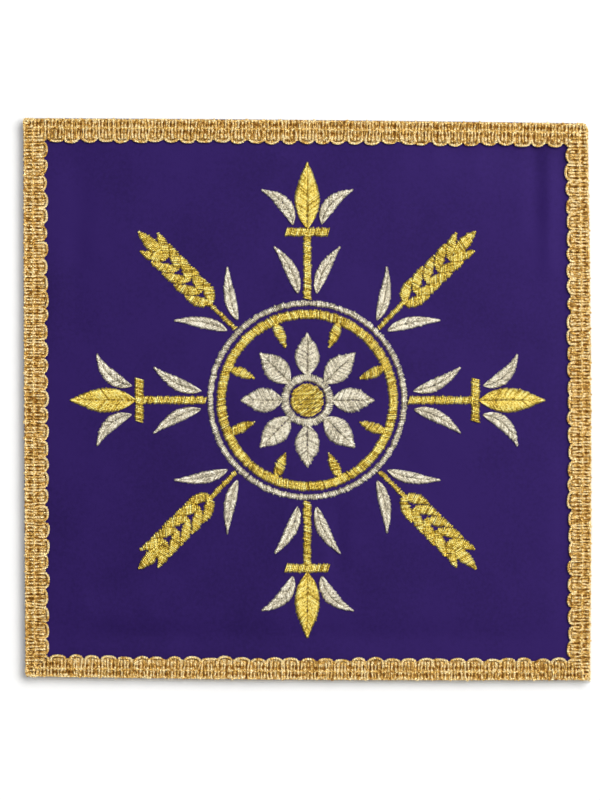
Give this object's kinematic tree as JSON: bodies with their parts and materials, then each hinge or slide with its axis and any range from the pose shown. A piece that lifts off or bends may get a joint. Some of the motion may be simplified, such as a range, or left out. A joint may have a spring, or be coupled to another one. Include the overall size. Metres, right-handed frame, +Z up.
{
  "type": "chalice pall",
  "caption": "Stiff square cloth cover for a chalice: purple face with raised gold and silver embroidery, white lining, and a gold scalloped braid sewn round the edge.",
  "frame": {"origin": "under the middle of the pall's box, on the plane that it lies on", "axes": "+Z up out of the embroidered face, +Y towards the top edge in the picture, +X to the right"},
  "size_m": [0.1648, 0.1635, 0.005],
  "materials": {
    "face_cloth": "purple satin-faced cloth, soft sheen",
    "lining_cloth": "white plain-weave cloth, matt",
    "gold_braid": "crocheted gold metallic yarn, glinting",
    "gold_thread": "gold metallic embroidery thread, satin stitch",
    "silver_thread": "pale silver embroidery thread, satin stitch"
  },
  "bodies": {
    "root": {"lining": "lining_cloth", "face": "face_cloth", "braid_top": "gold_braid", "braid_right": "gold_braid", "braid_bottom": "gold_braid", "braid_left": "gold_braid", "rosette_eye": "gold_thread", "rosette": "silver_thread", "cusped_ring": "gold_thread", "fine_ring": "silver_thread", "lily_east": "gold_thread", "lily_petal_east_left": "silver_thread", "lily_petal_east_right": "silver_thread", "lily_leaf_east_left": "silver_thread", "lily_leaf_east_right": "silver_thread", "lily_north": "gold_thread", "lily_petal_north_left": "silver_thread", "lily_petal_north_right": "silver_thread", "lily_leaf_north_left": "silver_thread", "lily_leaf_north_right": "silver_thread", "lily_west": "gold_thread", "lily_petal_west_left": "silver_thread", "lily_petal_west_right": "silver_thread", "lily_leaf_west_left": "silver_thread", "lily_leaf_west_right": "silver_thread", "lily_south": "gold_thread", "lily_petal_south_left": "silver_thread", "lily_petal_south_right": "silver_thread", "lily_leaf_south_left": "silver_thread", "lily_leaf_south_right": "silver_thread", "wheat_north_east": "gold_thread", "wheat_leaf_north_east_left": "silver_thread", "wheat_leaf_north_east_right": "silver_thread", "wheat_north_west": "gold_thread", "wheat_leaf_north_west_left": "silver_thread", "wheat_leaf_north_west_right": "silver_thread", "wheat_south_west": "gold_thread", "wheat_leaf_south_west_left": "silver_thread", "wheat_leaf_south_west_right": "silver_thread", "wheat_south_east": "gold_thread", "wheat_leaf_south_east_left": "silver_thread", "wheat_leaf_south_east_right": "silver_thread"}
  },
  "joints": []
}
